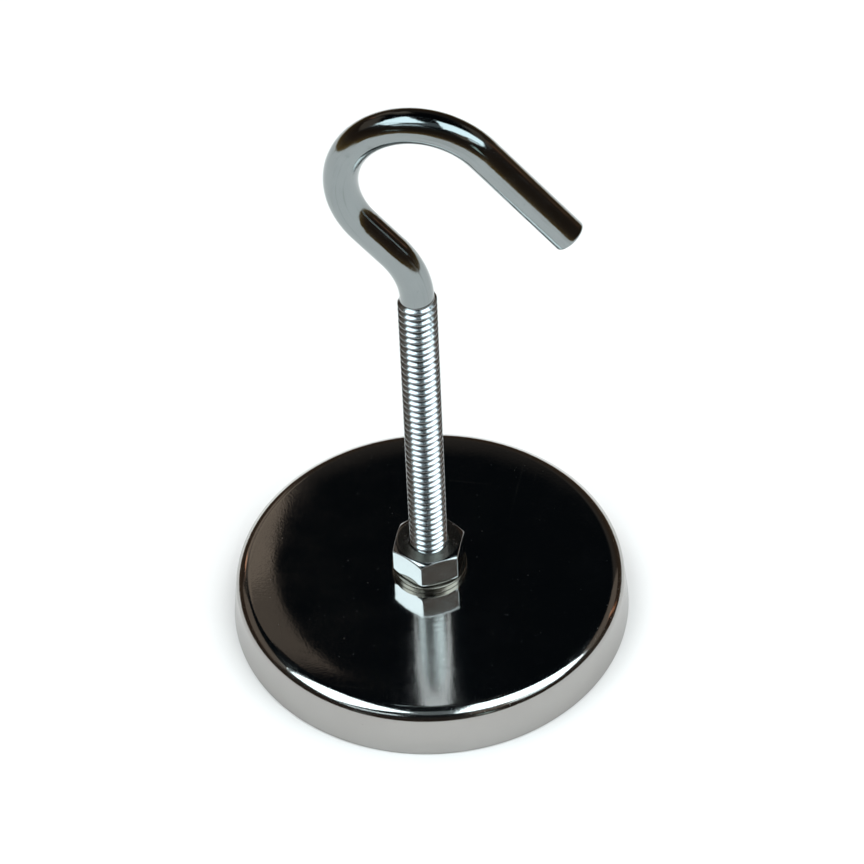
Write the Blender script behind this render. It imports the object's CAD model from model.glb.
import math

import bpy
from mathutils import Matrix, Vector


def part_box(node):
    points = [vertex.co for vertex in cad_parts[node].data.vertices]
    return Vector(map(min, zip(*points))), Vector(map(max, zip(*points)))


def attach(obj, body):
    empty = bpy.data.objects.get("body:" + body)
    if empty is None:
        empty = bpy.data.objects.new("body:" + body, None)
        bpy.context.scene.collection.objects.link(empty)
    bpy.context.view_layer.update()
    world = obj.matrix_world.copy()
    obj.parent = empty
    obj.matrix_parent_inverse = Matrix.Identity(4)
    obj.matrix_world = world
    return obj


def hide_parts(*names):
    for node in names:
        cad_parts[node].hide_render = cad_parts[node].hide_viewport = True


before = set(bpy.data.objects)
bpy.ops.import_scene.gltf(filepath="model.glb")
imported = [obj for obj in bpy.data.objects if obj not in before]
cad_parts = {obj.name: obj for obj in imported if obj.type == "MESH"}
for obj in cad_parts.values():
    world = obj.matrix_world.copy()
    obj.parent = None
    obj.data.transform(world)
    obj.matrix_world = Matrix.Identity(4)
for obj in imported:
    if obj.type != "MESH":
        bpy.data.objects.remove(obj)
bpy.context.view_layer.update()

# A pot magnet with a threaded wire hook. Lengths are in metres, in the frame of the CAD model: origin at the
# centre of the cup's rim, +Z up the shank, the hook in the XZ plane with its open tip towards +X.

MM = 0.001
TAU = 2 * math.pi

# Thread, 1/4-20 UNC
PITCH = 1.27 * MM
THREAD_RADIUS = 3.175 * MM
OUTER_DEPTH = 0.61343 * PITCH  # of the shank's thread
INNER_DEPTH = 0.54127 * PITCH  # of the nuts' thread
THREAD_CLEARANCE = 0.05 * MM
ROOT_RADIUS = THREAD_RADIUS - OUTER_DEPTH
BORE_RADIUS = THREAD_RADIUS - INNER_DEPTH + THREAD_CLEARANCE
NUT_FLANK = math.radians(30)
NUT_CREST = PITCH / 16  # half its width
SHANK_FLANK = math.radians(36)  # rolled shallower than nominal, with a narrow rounded crest
SHANK_CREST = 0.04 * MM  # half its width
THREAD_ROUND = 0.06 * MM  # how softly the crests and roots are rounded

# Shank
SHANK_END = 1.4 * MM
SHANK_CHAMFER = 0.8 * MM
THREAD_END = 71.6 * MM
THREAD_FADE = 0.30 * PITCH  # where the thread runs out into the wire

# Hook wire
WIRE_RADIUS = 2.725 * MM
NECK_RADIUS = 13.7 * MM
NECK_ANGLE = math.radians(42)
NECK_STRAIGHT = 6.4 * MM
BOW_RADIUS = 12.75 * MM
BOW_ANGLE = math.radians(180)
TIP_LENGTH = 19.8 * MM
TIP_EDGE = 0.4 * MM
STRAIGHT_WIRE = "straight_wire"  # the hook mesh's attribute for places on the wire before it was bent

# Nuts
UPPER_NUT_TURN = math.radians(30)
NUT_FLATS = 11.11 * MM
NUT_FACE = 0.95 * NUT_FLATS / 2
NUT_SINK = 3.35 * MM
NUT_CORNER_ROUND = 0.12 * MM
NUT_EDGE = 0.10 * MM  # the round between the chamfer and the side
CHAMFER_START = math.tan(math.radians(12))  # at the face's edge
CHAMFER_SLOPE = math.tan(math.radians(30))  # from the face's edge to the corner

# Cup
CUP_RIM = 33.8 * MM
CUP_TOP = 32.8 * MM
CUP_HEIGHT = 9.0 * MM
CUP_SHEET = 1.6 * MM
CUP_SHOULDER = 2.6 * MM
CUP_HOLE = 3.4 * MM
CUP_SLOPE = (CUP_RIM - CUP_TOP) / CUP_HEIGHT
CROWN_START = 24 * MM
CROWN_DROP = 0.42 * MM  # at the top's edge

# Ring magnet, its potting and the washers
MAGNET_OUTER = 30.0 * MM
MAGNET_BORE = 10.0 * MM
MAGNET_BEVEL = 0.5 * MM
POTTING_GAP = 0.01 * MM
POTTING_DISH = 0.18 * MM
WASHER_OUTER = 6.35 * MM
WASHER_HOLE = 3.375 * MM


# ---------------------------------------------------------------- mesh helpers

def make_piece(name, verts, faces, material, body, nodes):
    """A smooth mesh that rides on a body and stands for CAD nodes. Its slot is the material's name without
    the .001 that Blender adds where the frame already has a material of that name."""
    mesh = bpy.data.meshes.new(name)
    mesh.from_pydata(verts, [], faces)
    mesh.validate()
    mesh.update()
    mesh.polygons.foreach_set("use_smooth", [True] * len(mesh.polygons))
    mesh.materials.append(material)
    piece = bpy.data.objects.new(name, mesh)
    bpy.context.scene.collection.objects.link(piece)
    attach(piece, body)
    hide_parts(*nodes)
    return piece


def rings_to_mesh(rings, closed_loop):
    """Quads between neighbouring rings of points. A closed loop joins the last ring to the first."""
    count = len(rings[0])
    verts = [point for ring in rings for point in ring]
    faces = []
    pairs = len(rings) if closed_loop else len(rings) - 1
    for i in range(pairs):
        a, b = i * count, (i + 1) % len(rings) * count
        for k in range(count):
            n = (k + 1) % count
            faces.append((a + k, a + n, b + n, b + k))
    return verts, faces


def cap(verts, faces, ring_start, count, centre, flip):
    """A fan that closes a ring of points."""
    verts.append(centre)
    middle = len(verts) - 1
    for k in range(count):
        n = (k + 1) % count
        tri = (ring_start + k, ring_start + n, middle)
        faces.append(tri[::-1] if flip else tri)


def rounded(corners, steps=6, hold=0.06 * MM):
    """A closed outline of (r, z) points through corners (r, z, radius), each rounded to its radius, with
    points just before and after each round so that the flats between stay flat when shaded."""
    out = []
    count = len(corners)
    for i, (x, z, radius) in enumerate(corners):
        here = Vector((x, z))
        before = (Vector(corners[i - 1][:2]) - here).normalized()
        after = (Vector(corners[(i + 1) % count][:2]) - here).normalized()
        half = before.angle(after) / 2
        if radius <= 0:
            out.append((x, z))
            continue
        reach = radius / math.tan(half)
        start, end = here + before * reach, here + after * reach
        centre = here + (before + after).normalized() * (radius / math.sin(half))
        out.append(tuple(start + before * hold))
        first, last = start - centre, end - centre
        sweep = first.angle_signed(last)
        for k in range(steps + 1):
            angle = -sweep * k / steps
            c, s = math.cos(angle), math.sin(angle)
            out.append((centre.x + first.x * c - first.y * s, centre.y + first.x * s + first.y * c))
        out.append(tuple(end + after * hold))
    return out


def divided(outline, longest):
    """The same closed outline with its long runs cut into even steps."""
    out = []
    for i, (x, z) in enumerate(outline):
        nx, nz = outline[(i + 1) % len(outline)]
        steps = max(1, math.ceil(math.hypot(nx - x, nz - z) / longest))
        out += [(x + (nx - x) * k / steps, z + (nz - z) * k / steps) for k in range(steps)]
    return out


def circle(r, z, count):
    """Points round the axis, the first at angle 0."""
    return [(r * math.cos(TAU * k / count), r * math.sin(TAU * k / count), z) for k in range(count)]


def revolve(outline, segments):
    """A ring about Z from a closed (r, z) outline that goes clockwise when r points right and z up."""
    return rings_to_mesh([circle(r, z, segments) for r, z in reversed(outline)], True)


def blend_min(a, b, soft):
    """The lesser of two lengths, with a round of this softness where they meet."""
    share = max(0.0, min(1.0, 0.5 + (b - a) / (2 * soft)))
    return b * (1 - share) + a * share - soft * share * (1 - share)


def from_crest(angle, z, start):
    """How far a point lies from the nearest crest, measured along the axis: half a pitch at most."""
    turns = (z - start) / PITCH - angle / TAU
    return abs(turns - round(turns)) * PITCH


def ridge_radius(angle, z, start, gap=0.0):
    """The shank's surface, with rolled crests and roots; a gap gives the nut's groove around it."""
    away = from_crest(angle, z, start)
    crest = THREAD_RADIUS + gap
    if gap:
        groove_edge = NUT_CREST + gap / math.cos(NUT_FLANK)
        root, flank = BORE_RADIUS, crest - (away - groove_edge) / math.tan(NUT_FLANK)
    else:
        root, flank = ROOT_RADIUS, crest - (away - SHANK_CREST) / math.tan(SHANK_FLANK)
    top = blend_min(flank, crest, THREAD_ROUND)
    return -blend_min(-top, -root, THREAD_ROUND)


# ---------------------------------------------------------------- materials

def scaled(color, *shares):
    """A colour with its channels multiplied, by one share for all three or by one each."""
    return tuple(v * share for v, share in zip(color, shares * 3))


class Nodes:
    """Short names for building one node material."""

    def __init__(self, name):
        self.material = bpy.data.materials.new(name)
        self.material.use_nodes = True
        self.tree = self.material.node_tree
        self.tree.nodes.clear()
        self.out = self.add("ShaderNodeOutputMaterial")
        self.shader = self.add("ShaderNodeBsdfPrincipled")
        self.link(self.shader.outputs["BSDF"], self.out.inputs["Surface"])
        self.place = self.add("ShaderNodeTexCoord").outputs["Object"]

    def add(self, kind, **values):
        node = self.tree.nodes.new(kind)
        for key, value in values.items():
            setattr(node, key, value)
        return node

    def link(self, source, target):
        self.tree.links.new(source, target)

    def attribute(self, name):
        return self.add("ShaderNodeAttribute", attribute_name=name).outputs["Vector"]

    def noise(self, scale, detail=3.0, rough=0.5, stretch=None, place=None):
        """Noise whose features are about 1/scale metres across."""
        node = self.add("ShaderNodeTexNoise")
        node.inputs["Scale"].default_value = scale
        node.inputs["Detail"].default_value = detail
        node.inputs["Roughness"].default_value = rough
        source = place or self.place
        if stretch:
            mapping = self.add("ShaderNodeMapping")
            mapping.inputs["Scale"].default_value = stretch
            self.link(source, mapping.inputs["Vector"])
            source = mapping.outputs["Vector"]
        self.link(source, node.inputs["Vector"])
        return node.outputs["Fac"]

    def ramp(self, source, start, end, low=0.0, high=1.0):
        """source remapped from start..end to low..high."""
        node = self.add("ShaderNodeMapRange")
        node.inputs["From Min"].default_value = start
        node.inputs["From Max"].default_value = end
        node.inputs["To Min"].default_value = low
        node.inputs["To Max"].default_value = high
        self.link(source, node.inputs["Value"])
        return node.outputs["Result"]

    def math(self, operation, a, b):
        node = self.add("ShaderNodeMath", operation=operation)
        for socket, value in zip(node.inputs, (a, b)):
            if isinstance(value, (int, float)):
                socket.default_value = value
            else:
                self.link(value, socket)
        return node.outputs[0]

    def raised(self, value, *masks):
        """value, with the product of each (share, mask) pair added."""
        for share, mask in masks:
            value = self.math("ADD", value, self.math("MULTIPLY", mask, share))
        return value

    def mix(self, fac, a, b):
        node = self.add("ShaderNodeMix", data_type="RGBA")
        self.link(fac, node.inputs["Factor"])
        for socket, value in ((node.inputs[6], a), (node.inputs[7], b)):
            if isinstance(value, tuple):
                socket.default_value = (*value, 1.0)
            else:
                self.link(value, socket)
        return node.outputs[2]

    def bump(self, height, distance, strength=1.0, normal=None):
        node = self.add("ShaderNodeBump")
        node.inputs["Distance"].default_value = distance
        node.inputs["Strength"].default_value = strength
        self.link(height, node.inputs["Height"])
        if normal is not None:
            self.link(normal, node.inputs["Normal"])
        return node.outputs["Normal"]

    def split(self):
        node = self.add("ShaderNodeSeparateXYZ")
        self.link(self.place, node.inputs["Vector"])
        return node.outputs

    def height(self):
        return self.split()["Z"]

    def from_axis(self):
        """Distance from the shank's axis."""
        x, y, _ = self.split()
        square = self.math("ADD", self.math("MULTIPLY", x, x), self.math("MULTIPLY", y, y))
        return self.math("POWER", square, 0.5)

    def facing_up(self):
        """1 on level faces."""
        node = self.add("ShaderNodeSeparateXYZ")
        self.link(self.add("ShaderNodeNewGeometry").outputs["Normal"], node.inputs["Vector"])
        return self.ramp(self.math("ABSOLUTE", node.outputs["Z"], 0.0), 0.97, 0.995)

    def edges(self):
        """1 on sharp outer edges."""
        return self.ramp(self.add("ShaderNodeNewGeometry").outputs["Pointiness"], 0.53, 0.60)

    def finish(self, color, roughness, normal, metallic=1.0):
        for name, value in (("Base Color", color), ("Roughness", roughness), ("Normal", normal)):
            if isinstance(value, tuple):
                self.shader.inputs[name].default_value = (*value, 1.0)
            elif isinstance(value, float):
                self.shader.inputs[name].default_value = value
            else:
                self.link(value, self.shader.inputs[name])
        self.shader.inputs["Metallic"].default_value = metallic
        return self.material


def nickel():
    """Bright nickel plate on pressed steel: near mirror on top and hazier on the drawn wall, with orange
    peel, fine scratches, dust and a duller edge where the rim rubs."""
    n = Nodes("cup_nickel")
    wall = n.ramp(n.from_axis(), CUP_TOP - 0.8 * MM, CUP_TOP)
    top_tone = n.mix(n.noise(60, 4), (0.62, 0.61, 0.59), (0.68, 0.67, 0.65))
    wall_tone = n.mix(n.noise(90, 4), (0.352, 0.340, 0.327), (0.418, 0.405, 0.390))
    worn_tone = (0.36, 0.35, 0.33)
    edge = n.math("MULTIPLY", n.edges(), n.ramp(n.noise(700, 4, 0.7), 0.4, 0.6))
    tone = n.mix(edge, n.mix(wall, top_tone, wall_tone), worn_tone)
    lengthwise = n.ramp(n.noise(900, 2, 0.6, stretch=(1, 0.03, 1)), 0.69, 0.74)
    crosswise = n.ramp(n.noise(700, 2, 0.6, stretch=(0.04, 1, 1)), 0.70, 0.75)
    scratches = n.math("MULTIPLY", n.math("MAXIMUM", lengthwise, crosswise), 0.35)
    dust = n.ramp(n.noise(2600, 1, 0.4), 0.78, 0.81, high=0.9)
    marks = n.math("MAXIMUM", scratches, dust)
    rough = n.ramp(n.noise(130, 5, 0.6), 0.35, 0.7, low=0.045, high=0.10)
    speckle = n.ramp(n.noise(5000, 2, 0.5), 0.5, 0.75)
    rough = n.raised(rough, (0.22, marks), (0.08, wall), (0.15, edge), (0.12, speckle))
    peel = n.bump(n.noise(2600, 2, 0.5), 0.02 * MM, 0.25)
    waves = n.bump(n.noise(220, 2, 0.4), 0.05 * MM, 0.12, peel)
    return n.finish(tone, rough, waves)


def zinc(name, low, high, rough_low, rough_high, grain, threaded=False, turned=False):
    """Bright zinc plate over drawn or cut steel, with grain, small nicks and worn edges. A rolled thread is
    brighter and rougher than its wire, with darker grooves, where oil stays, and the bare wire has fine
    drawn lines along it. turned dulls level faces."""
    n = Nodes(name)
    tone = n.mix(n.noise(180, 5, 0.6), low, high)
    if threaded:
        below = n.ramp(n.height(), THREAD_END - 0.1 * MM, THREAD_END, low=1, high=0)
        above = n.ramp(n.height(), THREAD_END, THREAD_END + 0.5 * MM)
        rolled_tone = n.mix(n.noise(300, 4, 0.6), (0.54, 0.58, 0.60), (0.64, 0.67, 0.69))
        oil_tone = (0.16, 0.16, 0.15)
        groove = n.ramp(n.from_axis(), ROOT_RADIUS + 0.2 * MM, ROOT_RADIUS + 0.4 * MM, low=1, high=0)
        oil = n.math("MULTIPLY", n.math("MULTIPLY", groove, below), 0.5)
        tone = n.mix(oil, n.mix(below, tone, rolled_tone), oil_tone)
    wear = n.math("MULTIPLY", n.edges(), n.ramp(n.noise(900, 4, 0.7), 0.35, 0.6, high=0.6))
    tone = n.mix(wear, tone, scaled(low, 0.62))
    spots = n.ramp(n.noise(1100, 3, 0.6), 0.66, 0.74)
    tone = n.mix(n.math("MULTIPLY", spots, 0.5), tone, scaled(low, 0.72))
    rough = n.ramp(n.noise(400, 4, 0.6), 0.3, 0.7, rough_low, rough_high)
    rough = n.raised(rough, (0.12, spots))
    if turned:
        level = n.facing_up()
        tone = n.mix(level, tone, scaled(low, 0.95, 0.92, 0.84))
        rough = n.raised(rough, (0.15, level))
    pits = n.bump(n.noise(1500, 3, 0.6), 0.03 * MM, grain)
    swell = n.bump(n.noise(160, 2, 0.5), 0.10 * MM, grain, pits)
    if threaded:
        drawn = n.noise(2200, 3, 0.65, stretch=(1, 1, 0.03), place=n.attribute(STRAIGHT_WIRE))
        lines = n.math("MULTIPLY", n.ramp(drawn, 0.56, 0.68), above)
        tone = n.mix(n.math("MULTIPLY", lines, 0.35), tone, scaled(low, 0.6))
        rough = n.raised(rough, (0.09, below), (0.10, lines))
        swell = n.bump(n.math("MULTIPLY", drawn, above), 0.02 * MM, 0.6, swell)
    return n.finish(tone, rough, swell)


def ferrite():
    """Ground sintered ferrite: dark grey, matt, with fine grain and lighter grinding lines."""
    n = Nodes("ferrite")
    grain = n.noise(3200, 5, 0.7)
    lines = n.noise(1500, 3, 0.6, stretch=(0.05, 1, 1))
    ground_tone = n.mix(grain, (0.030, 0.030, 0.033), (0.085, 0.083, 0.085))
    tone = n.mix(n.ramp(lines, 0.5, 0.8, high=0.5), ground_tone, (0.14, 0.14, 0.145))
    rough = n.ramp(grain, 0.3, 0.7, low=0.42, high=0.62)
    rugged = n.bump(grain, 0.06 * MM, 0.6)
    return n.finish(tone, rough, n.bump(lines, 0.03 * MM, 0.5, rugged), metallic=0.25)


def resin(name, low, high, rough):
    """Cast resin with soft swirls and small bubbles."""
    n = Nodes(name)
    tone = n.mix(n.noise(150, 4, 0.6), low, high)
    bubbles = n.add("ShaderNodeTexVoronoi")
    bubbles.inputs["Scale"].default_value = 900
    n.link(n.place, bubbles.inputs["Vector"])
    dents = n.bump(n.ramp(bubbles.outputs["Distance"], 0.05, 0.25), 0.06 * MM, 0.5)
    swirls = n.bump(n.noise(300, 3), 0.10 * MM, 0.4, dents)
    return n.finish(tone, n.ramp(n.noise(500, 3), 0.3, 0.7, rough, rough + 0.2), swirls, metallic=0.0)


def paper():
    """The pale floor."""
    n = Nodes("floor_paper")
    tone = n.mix(n.noise(30, 3), (0.885, 0.865, 0.855), (0.905, 0.885, 0.875))
    return n.finish(tone, 0.9, n.bump(n.noise(2000, 3), 0.02 * MM, 0.3), metallic=0.0)


# ---------------------------------------------------------------- cup, magnet, potting and washers

def cup_piece():
    """Pressed cup: dead flat in the middle, easing down towards the rounded shoulder."""
    cut_edge, rim_edge, burr_edge = 0.15 * MM, 0.3 * MM, 0.1 * MM
    ceiling = CUP_HEIGHT - CUP_SHEET
    inner_top = CUP_RIM - CUP_SHEET - CUP_SLOPE * ceiling
    outline = divided(rounded([
        (CUP_HOLE, CUP_HEIGHT, cut_edge),
        (CUP_TOP, CUP_HEIGHT, CUP_SHOULDER),
        (CUP_RIM, 0.0, rim_edge),
        (CUP_RIM - CUP_SHEET, 0.0, cut_edge),
        (inner_top, ceiling, CUP_SHOULDER - CUP_SHEET),
        (CUP_HOLE, ceiling, burr_edge),
    ], steps=16), longest=0.8 * MM)

    def crowned(r, z):
        share = max(0.0, min(1.0, (r - CROWN_START) / (CUP_TOP - CROWN_START)))
        high = max(0.0, min(1.0, (z - ceiling) / CUP_SHEET))
        return z - CROWN_DROP * share * share * high

    verts, faces = revolve([(r, crowned(r, z)) for r, z in outline], segments=360)
    return make_piece("cup_shell", verts, faces, nickel(), "magnet", ["magnet_cup"])


def ring_piece(name, node, body, material, corners, segments, longest):
    """A plain ring about the axis with rounded corners."""
    verts, faces = revolve(divided(rounded(corners, steps=5), longest), segments)
    return make_piece(name, verts, faces, material, body, [node])


def magnet_piece():
    """Ring magnet with bevelled edges."""
    low, high = (corner.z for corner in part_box("ring_magnet"))
    outer, inner, bevel, soft = MAGNET_OUTER, MAGNET_BORE, MAGNET_BEVEL, 0.12 * MM
    corners = [
        (inner + bevel, high, soft), (outer - bevel, high, soft),
        (outer, high - bevel, soft), (outer, low + bevel, soft),
        (outer - bevel, low, soft), (inner + bevel, low, soft),
        (inner, low + bevel, soft), (inner, high - bevel, soft),
    ]
    return ring_piece("magnet_ring", "ring_magnet", "magnet", ferrite(), corners, 180, longest=1.0 * MM)


def potting_piece():
    """Resin with a dished meniscus between the magnet and the wall."""
    low, high = (corner.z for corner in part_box("potting_ring"))
    inner = MAGNET_OUTER + POTTING_GAP

    def wall(z):
        return CUP_RIM - CUP_SHEET - POTTING_GAP - CUP_SLOPE * z

    outline = [(inner, high), (wall(high), high), (wall(low), low)]
    steps = 8
    for k in range(1, steps):
        share = k / steps
        r = wall(low) + (inner - wall(low)) * share
        outline.append((r, low + POTTING_DISH * math.sin(math.pi * share)))
    outline.append((inner, low))
    verts, faces = revolve(divided(outline, longest=0.7 * MM), segments=240)
    material = resin("resin", (0.012, 0.012, 0.014), (0.03, 0.03, 0.032), 0.25)
    return make_piece("potting_fill", verts, faces, material, "magnet", ["potting_ring"])


def washer_piece(name, node, body, material):
    """Stamped washer: rounded on the punch side, a small sharp edge on the other."""
    low, high = (corner.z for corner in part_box(node))
    punched_hole, punched_rim, cut_rim, cut_hole = 0.12 * MM, 0.22 * MM, 0.06 * MM, 0.05 * MM
    corners = [
        (WASHER_HOLE, high, punched_hole), (WASHER_OUTER, high, punched_rim),
        (WASHER_OUTER, low, cut_rim), (WASHER_HOLE, low, cut_hole),
    ]
    return ring_piece(name, node, body, material, corners, 160, longest=0.5 * MM)


# ---------------------------------------------------------------- nuts

def hexagon_radius(angle):
    """Distance from the axis to the side of a hexagon with a corner at angle 0, its corners rounded."""
    sixth = math.pi / 3
    local = abs((angle + sixth / 2) % sixth - sixth / 2)  # from the nearest corner
    flat = NUT_FLATS / 2
    from_face = sixth / 2 - local
    meets = math.atan((1 - NUT_CORNER_ROUND / flat) * math.tan(sixth / 2))
    if from_face <= meets:
        return flat / math.cos(from_face)
    arc_centre = (flat - NUT_CORNER_ROUND) / math.cos(sixth / 2)
    return arc_centre * math.cos(local) + math.sqrt(
        NUT_CORNER_ROUND ** 2 - (arc_centre * math.sin(local)) ** 2)


def nut_angles():
    """Angles all round a nut with a corner at angle 0, closest together at the corners."""
    degrees = (0, 5, 10, 15, 20, 24, 27, 28.6, 29.3, 29.5, 29.65, 29.8, 29.9, 30)  # from a face's middle
    to_corner = [math.radians(a - 30) for a in degrees]
    past_corner = [-a for a in to_corner[-2:0:-1]]
    return [k * math.pi / 3 + a for k in range(6) for a in to_corner + past_corner]


def chamfer_drop(r):
    """How far the chamfer lies below the nut's face at this distance from the axis."""
    past = max(0.0, r - NUT_FACE)
    corner = NUT_FLATS / math.sqrt(3) - NUT_FACE
    bend = (CHAMFER_SLOPE - CHAMFER_START) / corner
    return past * CHAMFER_START + past * past * bend


def nut_shoulder(angle):
    """A nut's outline at one angle, from its countersink over the face and the chamfer to its side, as
    (distance from the axis, distance from the face) points."""
    side = hexagon_radius(angle)
    face = (NUT_SINK, NUT_SINK + NUT_EDGE, NUT_FACE - 0.25 * MM, NUT_FACE - 0.01 * MM)
    shares = (0.02, 0.15, 0.3, 0.45, 0.6, 0.75, 0.9, 1.0)
    chamfer = [NUT_FACE + (side - NUT_EDGE - NUT_FACE) * share for share in shares]
    return [(r, 0.0) for r in face] + [(r, chamfer_drop(r)) for r in chamfer] + [
        (side - NUT_EDGE * 0.3, chamfer_drop(side) + NUT_EDGE * 0.25),
        (side, chamfer_drop(side) + NUT_EDGE),
        (side, chamfer_drop(side) + 3 * NUT_EDGE),
    ]


def nut_piece(name, node, body, material, turn, thread_start):
    """Hexagon nut with both faces chamfered to a circle, a countersunk bore and a real thread."""
    low, high = (corner.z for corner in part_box(node))
    tall = high - low
    rows = 90
    columns = []
    for angle in nut_angles():
        at = angle + turn
        shoulder = nut_shoulder(angle)
        # up the outside, then down the bore: countersink, thread, countersink
        column = shoulder + [(hexagon_radius(angle), tall * share) for share in (0.25, 0.5, 0.75)]
        column += [(r, tall - depth) for r, depth in reversed(shoulder)]
        for i in range(1, rows):
            z = tall * (1 - i / rows)
            groove = ridge_radius(at % TAU, low + z, thread_start, THREAD_CLEARANCE)
            column.append((max(groove, NUT_SINK - min(z, tall - z)), z))
        columns.append([(r * math.cos(at), r * math.sin(at), low + z) for r, z in column])
    verts, faces = rings_to_mesh(list(zip(*columns)), True)
    return make_piece(name, verts, faces, material, body, [node])


# ---------------------------------------------------------------- hook

def hook_path():
    """The wire's centre line above the thread, as (point, heading) pairs in the XZ plane."""
    place, heading = Vector((0, 0, THREAD_END)), math.pi / 2
    out = []
    arc_step, line_step = math.radians(1.5), 0.6 * MM
    for length, radius, turn in (
        (None, NECK_RADIUS, NECK_ANGLE), (NECK_STRAIGHT, None, 0), (None, BOW_RADIUS, -BOW_ANGLE),
        (TIP_LENGTH - TIP_EDGE, None, 0),
    ):
        if radius:
            steps = round(abs(turn) / arc_step)
            side = math.copysign(1, turn)
            centre = place + Vector((-math.sin(heading), 0, math.cos(heading))) * radius * side
            for k in range(1, steps + 1):
                now = heading + turn * k / steps
                out.append((centre + Vector((math.sin(now), 0, -math.cos(now))) * radius * side, now))
        else:
            steps = round(length / line_step)
            along = Vector((math.cos(heading), 0, math.sin(heading)))
            out += [(place + along * length * k / steps, heading) for k in range(1, steps + 1)]
        place, heading = out[-1]
    return out


def shank_rings(angles, thread_start):
    """From the chamfered end up to where the thread runs out."""
    end_radius = THREAD_RADIUS - SHANK_CHAMFER
    rings = [
        [(r * math.cos(a), r * math.sin(a), SHANK_END) for a in angles]
        for r in (end_radius * 0.5, end_radius * 0.9)
    ]
    rows_per_pitch = 16
    rows = round((THREAD_END - SHANK_END) / PITCH * rows_per_pitch)
    for i in range(rows + 1):
        z = SHANK_END + (THREAD_END - SHANK_END) * i / rows
        chamfer = end_radius + (z - SHANK_END)
        left = max(0.0, min(1.0, (THREAD_END - z) / THREAD_FADE))
        ring = []
        for a in angles:
            r = min(ridge_radius(a, z, thread_start), chamfer)
            r = WIRE_RADIUS + (r - WIRE_RADIUS) * left
            ring.append((r * math.cos(a), r * math.sin(a), z))
        rings.append(ring)
    return rings


def wire_rings(angles):
    """Along the bent wire to its flat-cut tip, and the tip's centre."""

    def ring(place, heading, radius):
        side = Vector((math.sin(heading), 0, -math.cos(heading)))
        return [tuple(place + side * radius * math.cos(a) + Vector((0, radius * math.sin(a), 0)))
                for a in angles]

    path = hook_path()
    rings = [ring(place, heading, WIRE_RADIUS) for place, heading in path]
    place, heading = path[-1]
    along = Vector((math.cos(heading), 0, math.sin(heading)))
    steps = 6
    for k in range(1, steps + 1):
        angle = math.pi / 2 * k / steps
        radius = WIRE_RADIUS - TIP_EDGE * (1 - math.cos(angle))
        rings.append(ring(place + along * TIP_EDGE * math.sin(angle), heading, radius))
    tip = place + along * TIP_EDGE
    rings += [ring(tip, heading, (WIRE_RADIUS - TIP_EDGE) * share) for share in (0.97, 0.5)]
    return rings, tip


def straightened(rings, angles):
    """Each point's place on the wire before it was bent, and then the places of the two ends' centres."""
    straight, travelled, last = [], 0.0, Vector((0, 0, 0))
    for ring in rings:
        centre = sum((Vector(point) for point in ring), Vector()) / len(angles)
        travelled, last = travelled + (centre - last).length, centre
        for a in angles:
            straight += [WIRE_RADIUS * math.cos(a), WIRE_RADIUS * math.sin(a), travelled]
    return straight + [0, 0, SHANK_END, 0, 0, travelled]


def hook_piece(material, thread_start):
    """One wire from the shank's chamfered end to the flat-cut tip. Its attribute lets marks run along it."""
    around = 72
    angles = [TAU * k / around for k in range(around)]
    bent, tip = wire_rings(angles)
    rings = shank_rings(angles, thread_start) + bent
    verts, faces = rings_to_mesh(rings, False)
    cap(verts, faces, 0, around, (0, 0, SHANK_END), True)
    cap(verts, faces, (len(rings) - 1) * around, around, tuple(tip), False)
    piece = make_piece("hook_wire", verts, faces, material, "hook", ["hook"])
    places = piece.data.attributes.new(STRAIGHT_WIRE, "FLOAT_VECTOR", "POINT")
    places.data.foreach_set("vector", straightened(rings, angles))
    return piece


# ---------------------------------------------------------------- stage

# The camera, at the photo's viewing angle
CAMERA_AT = Vector((0.08948, -0.38075, 0.43880))
CAMERA_AZIMUTH = math.radians(13.02)
CAMERA_ELEVATION = math.radians(45.46)
CAMERA_ROLL = math.radians(-2.594)
CAMERA_LENS = 142.6
CAMERA_SENSOR = 36
CAMERA_CLIP = (0.05, 20)

FLOOR_RADIUS = 0.6
PANEL_SPREAD = 2.2  # moves every panel out and makes it larger by the same factor

COOL, GREENISH = (0.80, 0.95, 1.0), (0.75, 1.0, 0.95)
BROWN, ORANGE = (1.0, 0.82, 0.66), (1.0, 0.45, 0.25)
NEAR_WHITE = (1, 0.985, 0.975)

# Soft panels overhead: name, right, away, height, size, radiance, colour, turn
OVERHEAD = (
    ("left_panel", -0.295, -0.085, 0.45, (0.41, 0.28), 3.0, COOL, 16),
    ("left_front_panel", -0.30, -0.365, 0.45, (0.30, 0.09), 1.3, COOL, 0),
    ("right_panel", 0.36, -0.135, 0.45, (0.60, 0.30), 3.0, COOL, 0),
    ("right_front_panel", 0.47, -0.36, 0.45, (0.28, 0.09), 1.8, COOL, 0),
)

# Dim upright surfaces that the plating mirrors: name, azimuth, elevation, distance, size, radiance, colour
UPRIGHT = (
    ("gap_glow", -6, 68, 0.5, (0.16, 0.16), 0.16, COOL),
    ("brown_left", -161.5, 41.5, 0.9, (0.21, 0.19), 0.085, BROWN),
    ("brown_left_halo", -159.5, 44, 1.0, (0.29, 0.36), 0.078, BROWN),
    ("brown_back_left", -153, 27, 0.8, (0.26, 0.16), 0.14, BROWN),
    ("brown_front", 36, 42, 0.9, (0.40, 0.24), 0.14, BROWN),
    ("brown_side_left", -112, 34, 1.0, (0.70, 0.36), 0.09, BROWN),
    ("brown_side_right", 112, 34, 1.0, (0.70, 0.36), 0.09, BROWN),
    ("orange_left", -143, 27, 0.5, (0.03, 0.05), 0.5, ORANGE),
    ("orange_right", 112, 20, 0.5, (0.03, 0.14), 0.4, ORANGE),
    ("low_lamp_right", 25, 20, 0.5, (0.05, 0.10), 0.8, GREENISH),
    ("low_lamp_left", -38, 16, 0.5, (0.08, 0.02), 0.6, GREENISH),
)

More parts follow.
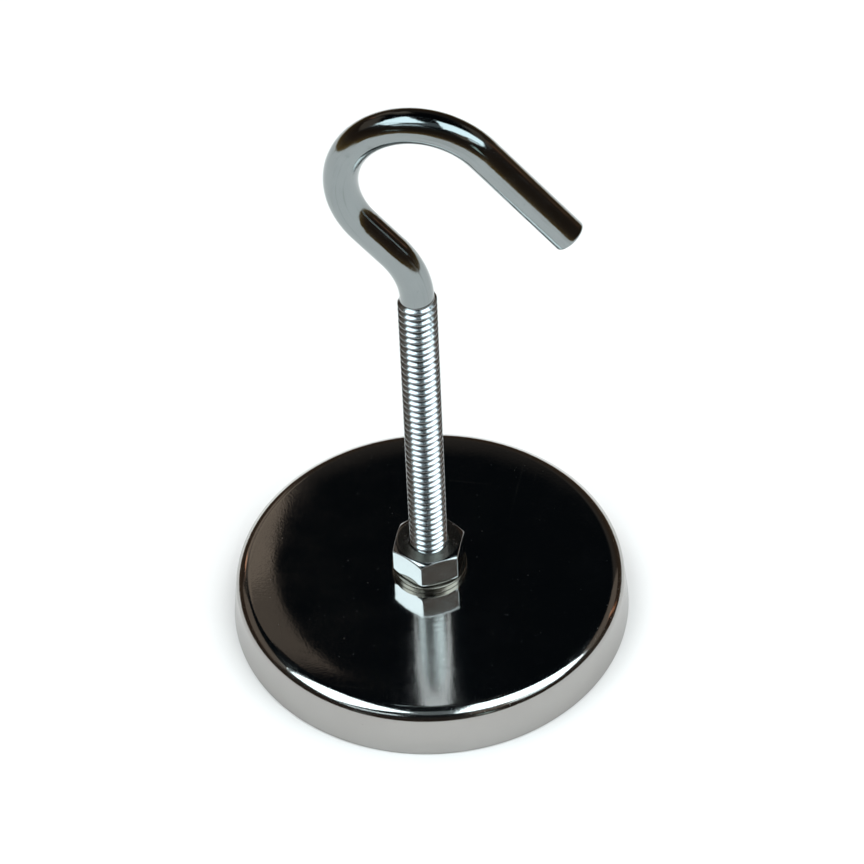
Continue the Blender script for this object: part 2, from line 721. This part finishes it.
# The room's colour by height in the world, from 0 straight down to 1 straight up
ROOM = (
    (0.36, (0.55, 0.55, 0.54)), (0.40, (0.34, 0.23, 0.08)), (0.47, (0.11, 0.07, 0.03)),
    (0.545, (0.045, 0.030, 0.020)), (0.675, (0.025, 0.017, 0.012)), (0.80, (0.030, 0.027, 0.024)),
    (0.84, (0.002, 0.003, 0.004)),
)


def direction(azimuth, elevation):
    """A unit vector at these angles in radians: azimuth 0 is -Y, and a quarter turn is +X."""
    level = math.cos(elevation)
    return Vector((math.sin(azimuth) * level, -math.cos(azimuth) * level, math.sin(elevation)))


def make_camera():
    camera = bpy.data.objects.new("camera", bpy.data.cameras.new("camera"))
    bpy.context.scene.collection.objects.link(camera)
    back = direction(CAMERA_AZIMUTH, CAMERA_ELEVATION)
    turn = back.to_track_quat("Z", "Y").to_matrix() @ Matrix.Rotation(CAMERA_ROLL, 3, "Z")
    camera.matrix_world = Matrix.Translation(CAMERA_AT) @ turn.to_4x4()
    camera.data.lens = CAMERA_LENS
    camera.data.sensor_width = CAMERA_SENSOR
    camera.data.clip_start, camera.data.clip_end = CAMERA_CLIP
    bpy.context.scene.camera = camera


def panel(name, right, away, height, size, radiance, color, turn=0.0, glossy=True):
    """A soft panel that faces down, turned about the vertical by degrees. right and away are measured on
    the floor from the object, as the camera sees it."""
    light = bpy.data.lights.new(name, "AREA")
    light.shape = "RECTANGLE"
    light.size, light.size_y = size[0] * PANEL_SPREAD, size[1] * PANEL_SPREAD
    light.energy = radiance * math.pi * light.size * light.size_y
    light.color = color
    lamp = bpy.data.objects.new(name, light)
    bpy.context.scene.collection.objects.link(lamp)
    place = Matrix.Translation(Vector((right, away, height)) * PANEL_SPREAD)
    place = place @ Matrix.Rotation(math.radians(turn), 4, "Z")
    lamp.matrix_world = Matrix.Rotation(CAMERA_AZIMUTH, 4, "Z") @ place
    lamp.visible_glossy = glossy
    lamp.visible_camera = False
    return lamp


def wall_panel(name, azimuth, elevation, distance, size, radiance, color):
    """A dim upright surface that the plating mirrors. azimuth is from the camera's side, positive to its
    right, in degrees like elevation."""
    lamp = panel(name, 0, 0, 0, size, radiance, color)
    out = direction(CAMERA_AZIMUTH + math.radians(azimuth), math.radians(elevation))
    facing = out.to_track_quat("Z", "Y").to_matrix().to_4x4()
    lamp.matrix_world = Matrix.Translation(out * distance * PANEL_SPREAD) @ facing


def make_floor():
    """A round sheet of pale paper, wider than the camera sees."""
    around, steps = 128, 12
    rings = [circle(FLOOR_RADIUS * i / steps, 0.0, around) for i in range(steps, 0, -1)]
    verts, faces = rings_to_mesh(rings, False)
    cap(verts, faces, (steps - 1) * around, around, (0, 0, 0), False)
    mesh = bpy.data.meshes.new("floor")
    mesh.from_pydata(verts, [], faces)
    mesh.materials.append(paper())
    floor = bpy.data.objects.new("floor", mesh)
    bpy.context.scene.collection.objects.link(floor)


def make_world():
    """A dark, slightly warm studio for the plating to mirror, pale below the horizon like the floor.
    Straight to the camera it is pale all over."""
    world = bpy.data.worlds.new("studio")
    bpy.context.scene.world = world
    world.use_nodes = True
    tree = world.node_tree
    tree.nodes.clear()
    out = tree.nodes.new("ShaderNodeOutputWorld")
    pick = tree.nodes.new("ShaderNodeMixShader")
    path = tree.nodes.new("ShaderNodeLightPath")
    dark = tree.nodes.new("ShaderNodeBackground")
    pale = tree.nodes.new("ShaderNodeBackground")
    place = tree.nodes.new("ShaderNodeTexCoord")
    split = tree.nodes.new("ShaderNodeSeparateXYZ")
    level = tree.nodes.new("ShaderNodeMapRange")
    ramp = tree.nodes.new("ShaderNodeValToRGB")
    tree.links.new(place.outputs["Generated"], split.inputs["Vector"])
    tree.links.new(split.outputs["Z"], level.inputs["Value"])
    level.inputs["From Min"].default_value = -1.0
    tree.links.new(level.outputs["Result"], ramp.inputs["Fac"])
    stops = ramp.color_ramp.elements
    for stop, (height, color) in zip(stops, (ROOM[0], ROOM[-1])):
        stop.position, stop.color = height, (*color, 1)
    for height, color in ROOM[1:-1]:
        stops.new(height).color = (*color, 1)
    tree.links.new(ramp.outputs["Color"], dark.inputs["Color"])
    pale.inputs["Color"].default_value = (1, 1, 1, 1)
    tree.links.new(path.outputs["Is Camera Ray"], pick.inputs["Fac"])
    tree.links.new(dark.outputs["Background"], pick.inputs[1])
    tree.links.new(pale.outputs["Background"], pick.inputs[2])
    tree.links.new(pick.outputs["Shader"], out.inputs["Surface"])


# ---------------------------------------------------------------- the scene

make_camera()
make_floor()
make_world()
for values in OVERHEAD:
    panel(*values)
for values in UPRIGHT:
    wall_panel(*values)
panel("overhead_fill", 0, 0, 1.4, (2.4, 2.4), 1.48, NEAR_WHITE, glossy=False)

upper_nut_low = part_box("upper_nut")[0].z
under_nut_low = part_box("under_nut")[0].z
turns_down = 8  # whole turns from the upper nut to below the shank's end
thread_start = upper_nut_low - PITCH * (UPPER_NUT_TURN / TAU + turns_down)
under_nut_turn = TAU * (under_nut_low - thread_start) / PITCH

nut_zinc = zinc("nut_zinc", (0.44, 0.45, 0.455), (0.50, 0.51, 0.515), 0.06, 0.13, 0.12, turned=True)
washer_zinc = zinc("washer_zinc", (0.24, 0.225, 0.190), (0.34, 0.315, 0.270), 0.14, 0.28, 0.3)
hook_zinc = zinc("hook_zinc", (0.262, 0.288, 0.290), (0.310, 0.336, 0.340), 0.06, 0.14, 0.25, threaded=True)
adhesive = resin("adhesive", (0.42, 0.36, 0.22), (0.55, 0.48, 0.33), 0.3)

cup_piece()
magnet_piece()
potting_piece()
hook_piece(hook_zinc, thread_start)
washer_piece("washer_upper", "upper_washer", "upper_washer", washer_zinc)
washer_piece("washer_under", "under_washer", "hook", washer_zinc)
nut_piece("nut_upper", "upper_nut", "upper_nut", nut_zinc, UPPER_NUT_TURN, thread_start)
nut_piece("nut_under", "under_nut", "hook", nut_zinc, under_nut_turn, thread_start)
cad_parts["adhesive_layer"].data.materials[0] = adhesive

bpy.context.scene.view_settings.view_transform = "Standard"
